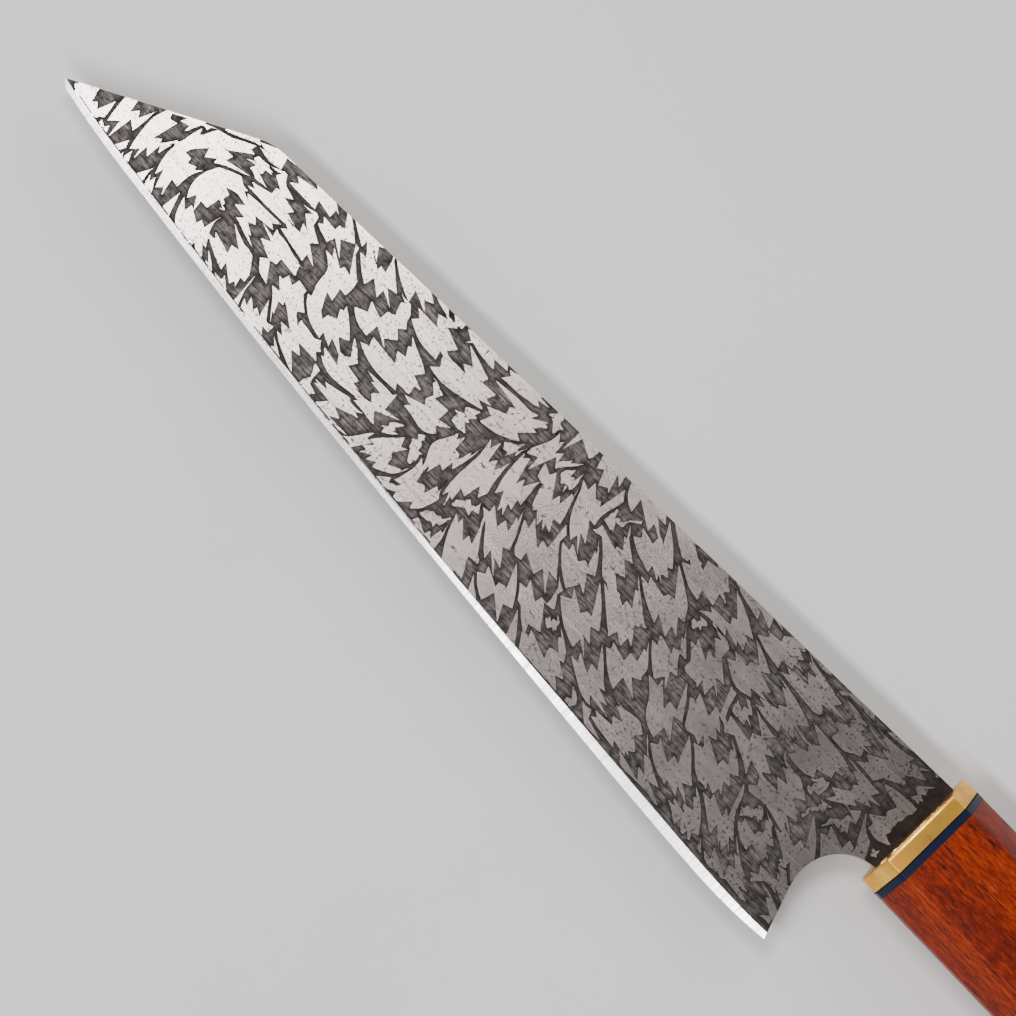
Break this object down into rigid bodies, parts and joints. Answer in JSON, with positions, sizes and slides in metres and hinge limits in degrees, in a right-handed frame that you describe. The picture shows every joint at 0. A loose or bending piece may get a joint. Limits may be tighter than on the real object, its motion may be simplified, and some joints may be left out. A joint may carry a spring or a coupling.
{
  "type": "chef knife",
  "caption": "Kitchen chef knife lying on its side: clipped-point etched steel blade with finger choil, brass bolster, dark and blue spacers, octagonal wooden handle.",
  "frame": {"origin": "under the centre of the knife's bounding box, on the surface it lies on", "axes": "+X from the blade's tip to the handle's butt, +Y from the cutting edge to the spine, +Z across the blade's thickness, up from the surface"},
  "size_m": [0.3378, 0.0486, 0.0188],
  "materials": {
    "blade_steel": "deep-etched pattern with satin raised areas and a dark recessed ground, bright ground edge bevel",
    "brass": "satin, ground across the stack",
    "black_fibre": "dull black vulcanised fibre",
    "blue_spacer": "dark blue, polished flush",
    "handle_wood": "oiled red-orange hardwood with dark lengthwise pores",
    "resin": "cured bedding resin"
  },
  "bodies": {
    "root": {"blade": "blade_steel", "bolster": "brass", "black_liner": "black_fibre", "blue_spacer": "blue_spacer", "handle_body": "handle_wood", "tang_bedding": "resin", "alignment_pin_spine_side": "brass", "alignment_pin_edge_side": "brass"}
  },
  "joints": []
}
